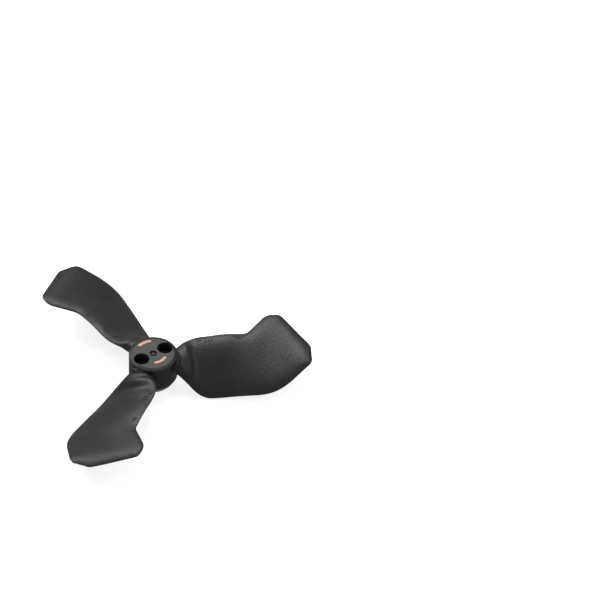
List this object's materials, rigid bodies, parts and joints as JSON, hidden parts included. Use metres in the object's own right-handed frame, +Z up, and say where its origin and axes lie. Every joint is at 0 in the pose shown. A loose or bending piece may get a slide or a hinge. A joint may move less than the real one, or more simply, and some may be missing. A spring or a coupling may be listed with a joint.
{
  "type": "drone propeller",
  "caption": "Moulded propeller for a small ducted camera drone: hooked, twisted blades on a barrel hub with counterbored screw holes, a shaft bore and orange index marks.",
  "frame": {"origin": "On the spin axis, in the plane of the seat face that rests on the motor, at the mouth of the shaft bore.", "axes": "+Z up the spin axis, from the motor to the hub's marked top face; +X through the screw holes' centres; +Y square to both. Seen from above the propeller turns anticlockwise."},
  "size_m": [0.0505, 0.0472, 0.007],
  "materials": {
    "hub_plastic": "fine matte mould grain",
    "blade_plastic": "fine matte mould grain",
    "seat_plastic": "smooth light grey",
    "mark_paint": "flat peach orange"
  },
  "bodies": {
    "root": {"hub": "hub_plastic", "motor_seat": "seat_plastic", "blade_1": "blade_plastic", "blade_2": "blade_plastic", "blade_3": "blade_plastic", "index_mark_1": "mark_paint", "index_mark_2": "mark_paint"}
  },
  "joints": []
}
